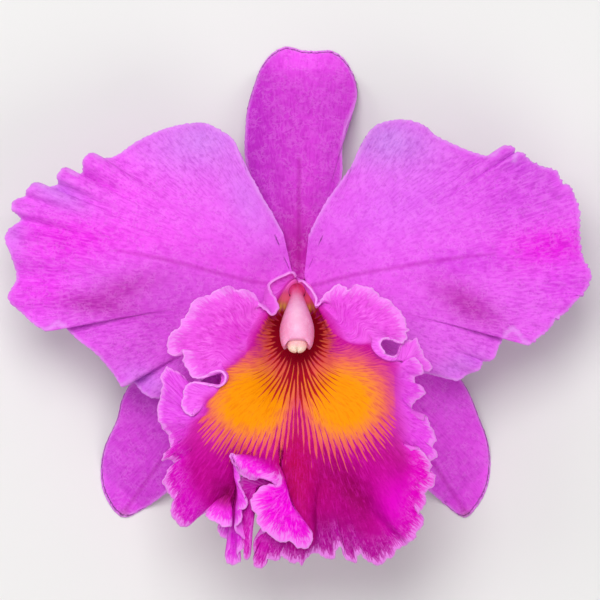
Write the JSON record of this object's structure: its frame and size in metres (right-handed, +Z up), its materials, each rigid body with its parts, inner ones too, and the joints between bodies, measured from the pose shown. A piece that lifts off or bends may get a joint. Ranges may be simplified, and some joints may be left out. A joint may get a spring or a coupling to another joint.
{
  "type": "orchid bloom",
  "caption": "Picked cattleya orchid bloom lying face up, with broad waved petals, narrower sepals and a large frilled lip rolled round its column, on a short cut stalk.",
  "frame": {"origin": "centre of the bounding box's bottom, on the surface that the bloom lies on", "axes": "+Z up, out of the face of the bloom; +Y towards its upright dorsal sepal; +X to the right of someone who looks down on its face"},
  "size_m": [0.1599, 0.1429, 0.0542],
  "materials": {
    "stalk_green": "satin",
    "dorsal_sepal_pink": "satin",
    "lateral_sepal_left_pink": "satin",
    "lateral_sepal_right_pink": "satin",
    "petal_left_pink": "satin",
    "petal_right_pink": "satin",
    "lip_magenta": "satin",
    "column_pink": "satin",
    "cap_cream": "satin"
  },
  "bodies": {
    "root": {"ovary_and_pedicel": "stalk_green", "dorsal_sepal": "dorsal_sepal_pink", "lateral_sepal_left": "lateral_sepal_left_pink", "lateral_sepal_right": "lateral_sepal_right_pink", "petal_left": "petal_left_pink", "petal_right": "petal_right_pink", "lip": "lip_magenta", "column": "column_pink", "anther_cap": "cap_cream"}
  },
  "joints": []
}
